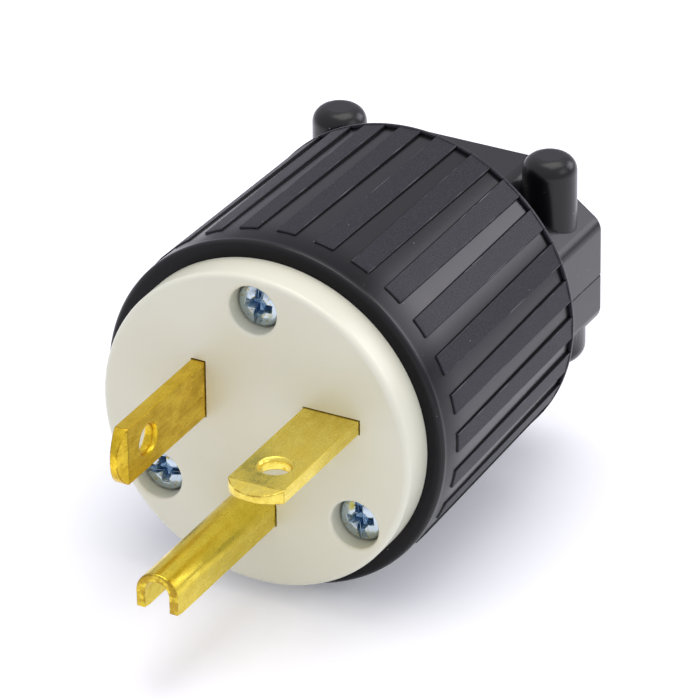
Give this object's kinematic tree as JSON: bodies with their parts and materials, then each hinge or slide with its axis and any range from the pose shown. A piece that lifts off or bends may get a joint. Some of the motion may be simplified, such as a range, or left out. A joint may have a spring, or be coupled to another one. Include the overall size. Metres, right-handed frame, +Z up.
{
  "type": "straight blade plug",
  "caption": "Round two-pole mains plug with an upright and a level blade, a U ground prong, a white face and a black ribbed body with a cord clamp behind.",
  "frame": {"origin": "on the plug's axis, in the plane of the front face that meets the outlet", "axes": "+Y along the axis from the face back to the cord, +X to the right as seen from the front, +Z up with the ground prong at the bottom"},
  "size_m": [0.0392, 0.0673, 0.0392],
  "materials": {
    "white_nylon": "satin moulded",
    "black_nylon": "satin moulded",
    "inner_nylon": "satin moulded",
    "brass": "stamped, lightly tarnished",
    "zinc_steel": "bright zinc plate",
    "green_zinc": "green dyed zinc plate"
  },
  "bodies": {
    "root": {"front_face": "white_nylon", "terminal_carrier": "inner_nylon", "hot_blade": "brass", "neutral_blade": "brass", "ground_prong": "brass", "hot_wire_plate": "brass", "neutral_wire_plate": "zinc_steel", "ground_wire_plate": "zinc_steel", "hot_terminal_screw": "brass", "neutral_terminal_screw": "zinc_steel", "ground_terminal_screw": "green_zinc", "face_screws": "zinc_steel", "housing": "black_nylon", "cord_clamp_bar": "black_nylon", "clamp_screws": "zinc_steel"}
  },
  "joints": []
}
